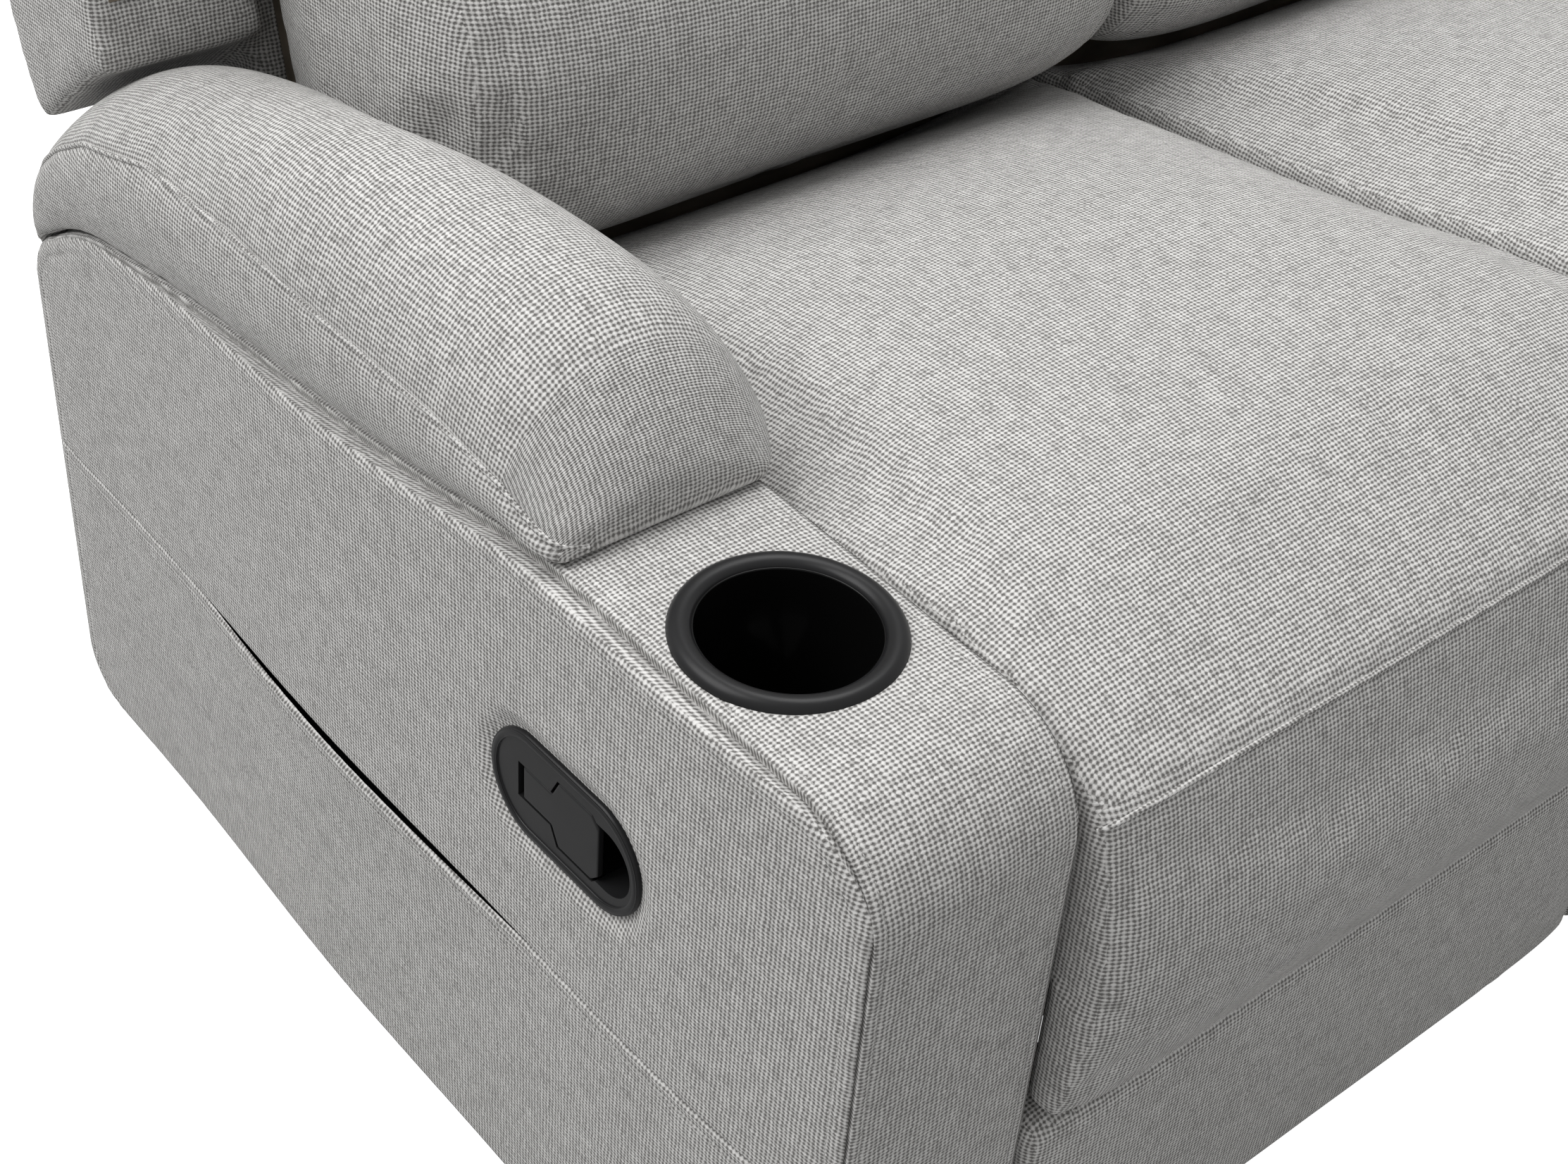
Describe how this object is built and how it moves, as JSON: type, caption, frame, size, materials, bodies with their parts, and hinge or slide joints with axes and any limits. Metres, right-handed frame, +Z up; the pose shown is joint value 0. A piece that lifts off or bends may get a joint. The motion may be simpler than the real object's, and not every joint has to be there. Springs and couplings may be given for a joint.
{
  "type": "reclining sofa",
  "caption": "Upholstered reclining sofa with padded sloping arms, cup holders, side pockets, and end seats that recline and swing out a footrest.",
  "frame": {"origin": "on the floor, under the middle of the sofa's bounding box", "axes": "+Z up, -Y the way a sitter faces, +Y the back, X along the length"},
  "size_m": [2.0252, 0.9707, 0.9962],
  "materials": {
    "upholstery": "heathered light grey basket weave",
    "lining": "thin black lining cloth",
    "plywood": "bare plywood and pine",
    "cup_plastic": "black, glossy inside, satin flange",
    "bezel_plastic": "black satin",
    "paddle_plastic": "black satin",
    "cable_sleeve": "black sleeve",
    "spring_wire": "drawn steel wire",
    "link_steel": "black painted steel",
    "foot_plastic": "black plastic"
  },
  "bodies": {
    "frame": {"arm_outer_panel_left": "upholstery", "arm_pocket_panel_left": "upholstery", "arm_strip_left": "upholstery", "arm_inner_panel_left": "upholstery", "arm_frame_left": "plywood", "pocket_lining_left": "lining", "arm_pad_left": "upholstery", "cup_holder_left": "cup_plastic", "handle_bezel_left": "bezel_plastic", "release_cable_left": "cable_sleeve", "mechanism_base_left": "link_steel", "arm_outer_panel_right": "upholstery", "arm_pocket_panel_right": "upholstery", "arm_strip_right": "upholstery", "arm_inner_panel_right": "upholstery", "arm_frame_right": "plywood", "pocket_lining_right": "lining", "arm_pad_right": "upholstery", "cup_holder_right": "cup_plastic", "handle_bezel_right": "bezel_plastic", "release_cable_right": "cable_sleeve", "mechanism_base_right": "link_steel", "middle_frame": "plywood", "middle_springs": "spring_wire", "middle_seat_cushion": "upholstery", "middle_lumbar_cushion": "upholstery", "middle_headrest": "upholstery", "middle_back_cover": "upholstery", "middle_front_panel": "upholstery", "base_beams": "plywood", "feet": "foot_plastic", "rear_panel": "upholstery"},
    "left_handle": {"handle_paddle_left": "paddle_plastic"},
    "left_seat": {"seat_frame_left": "plywood", "seat_springs_left": "spring_wire", "seat_cushion_left": "upholstery"},
    "left_back": {"back_frame_left": "plywood", "back_cover_left": "upholstery", "lumbar_cushion_left": "upholstery", "headrest_left": "upholstery"},
    "left_front_crank": {"front_crank_left": "link_steel"},
    "left_rear_crank": {"rear_crank_left": "link_steel"},
    "left_long_link": {"long_link_left": "link_steel"},
    "left_short_link": {"short_link_left": "link_steel"},
    "left_footrest": {"footrest_board_left": "plywood", "footrest_pad_left": "upholstery"},
    "right_handle": {"handle_paddle_right": "paddle_plastic"},
    "right_seat": {"seat_frame_right": "plywood", "seat_springs_right": "spring_wire", "seat_cushion_right": "upholstery"},
    "right_back": {"back_frame_right": "plywood", "back_cover_right": "upholstery", "lumbar_cushion_right": "upholstery", "headrest_right": "upholstery"},
    "right_front_crank": {"front_crank_right": "link_steel"},
    "right_rear_crank": {"rear_crank_right": "link_steel"},
    "right_long_link": {"long_link_right": "link_steel"},
    "right_short_link": {"short_link_right": "link_steel"},
    "right_footrest": {"footrest_board_right": "plywood", "footrest_pad_right": "upholstery"}
  },
  "joints": [
    {"name": "left_seat_slide", "type": "slide", "parent": "frame", "child": "left_seat", "axis": [0, -1, 0], "range_m": [0, 0.04]},
    {"name": "left_recline", "type": "hinge", "parent": "left_seat", "child": "left_back", "pos_m": [-0.575, 0.251, 0.33], "axis": [-1, 0, 0], "range_deg": [0, 30]},
    {"name": "left_footrest", "type": "hinge", "parent": "left_seat", "child": "left_front_crank", "pos_m": [-0.575, -0.3163, 0.3139], "axis": [-1, 0, 0], "range_deg": [0, 92.9]},
    {"name": "left_rear_crank_turn", "type": "hinge", "parent": "left_seat", "child": "left_rear_crank", "pos_m": [-0.575, -0.3128, 0.2807], "axis": [-1, 0, 0], "range_deg": [0, 88.08]},
    {"name": "left_long_link_turn", "type": "hinge", "parent": "left_front_crank", "child": "left_long_link", "pos_m": [-0.575, -0.2113, 0.1525], "axis": [-1, 0, 0], "range_deg": [-60.58, 0]},
    {"name": "left_footrest_turn", "type": "hinge", "parent": "left_long_link", "child": "left_footrest", "pos_m": [-0.575, -0.391, 0.2353], "axis": [-1, 0, 0], "range_deg": [0, 53.71]},
    {"name": "left_short_link_turn", "type": "hinge", "parent": "left_front_crank", "child": "left_short_link", "pos_m": [-0.575, -0.17056, 0.08988], "axis": [-1, 0, 0], "range_deg": [-51.11, 0]},
    {"name": "left_handle_pull", "type": "hinge", "parent": "frame", "child": "left_handle", "pos_m": [-1.0029, -0.191, 0.388], "axis": [0, 0, -1], "range_deg": [0, 35], "stiffness_Nm_per_rad": 0.4, "springref_deg": -11.46},
    {"name": "right_seat_slide", "type": "slide", "parent": "frame", "child": "right_seat", "axis": [0, -1, 0], "range_m": [0, 0.04]},
    {"name": "right_recline", "type": "hinge", "parent": "right_seat", "child": "right_back", "pos_m": [0.575, 0.251, 0.33], "axis": [-1, 0, 0], "range_deg": [0, 30]},
    {"name": "right_footrest", "type": "hinge", "parent": "right_seat", "child": "right_front_crank", "pos_m": [0.575, -0.3163, 0.3139], "axis": [-1, 0, 0], "range_deg": [0, 92.9]},
    {"name": "right_rear_crank_turn", "type": "hinge", "parent": "right_seat", "child": "right_rear_crank", "pos_m": [0.575, -0.3128, 0.2807], "axis": [-1, 0, 0], "range_deg": [0, 88.08]},
    {"name": "right_long_link_turn", "type": "hinge", "parent": "right_front_crank", "child": "right_long_link", "pos_m": [0.575, -0.2113, 0.1525], "axis": [-1, 0, 0], "range_deg": [-60.58, 0]},
    {"name": "right_footrest_turn", "type": "hinge", "parent": "right_long_link", "child": "right_footrest", "pos_m": [0.575, -0.391, 0.2353], "axis": [-1, 0, 0], "range_deg": [0, 53.71]},
    {"name": "right_short_link_turn", "type": "hinge", "parent": "right_front_crank", "child": "right_short_link", "pos_m": [0.575, -0.17056, 0.08988], "axis": [-1, 0, 0], "range_deg": [-51.11, 0]},
    {"name": "right_handle_pull", "type": "hinge", "parent": "frame", "child": "right_handle", "pos_m": [1.0029, -0.191, 0.388], "axis": [0, 0, 1], "range_deg": [0, 35], "stiffness_Nm_per_rad": 0.4, "springref_deg": -11.46}
  ],
  "couplings": [
    {"joint": "left_seat_slide", "follows": "left_recline", "m_per_rad": 0.076393},
    {"joint": "left_rear_crank_turn", "follows": "left_footrest", "ratio": 0.948},
    {"joint": "left_long_link_turn", "follows": "left_footrest", "ratio": -0.652},
    {"joint": "left_footrest_turn", "follows": "left_footrest", "ratio": 0.578},
    {"joint": "left_short_link_turn", "follows": "left_footrest", "ratio": -0.55},
    {"joint": "right_seat_slide", "follows": "right_recline", "m_per_rad": 0.076393},
    {"joint": "right_rear_crank_turn", "follows": "right_footrest", "ratio": 0.948},
    {"joint": "right_long_link_turn", "follows": "right_footrest", "ratio": -0.652},
    {"joint": "right_footrest_turn", "follows": "right_footrest", "ratio": 0.578},
    {"joint": "right_short_link_turn", "follows": "right_footrest", "ratio": -0.55}
  ]
}
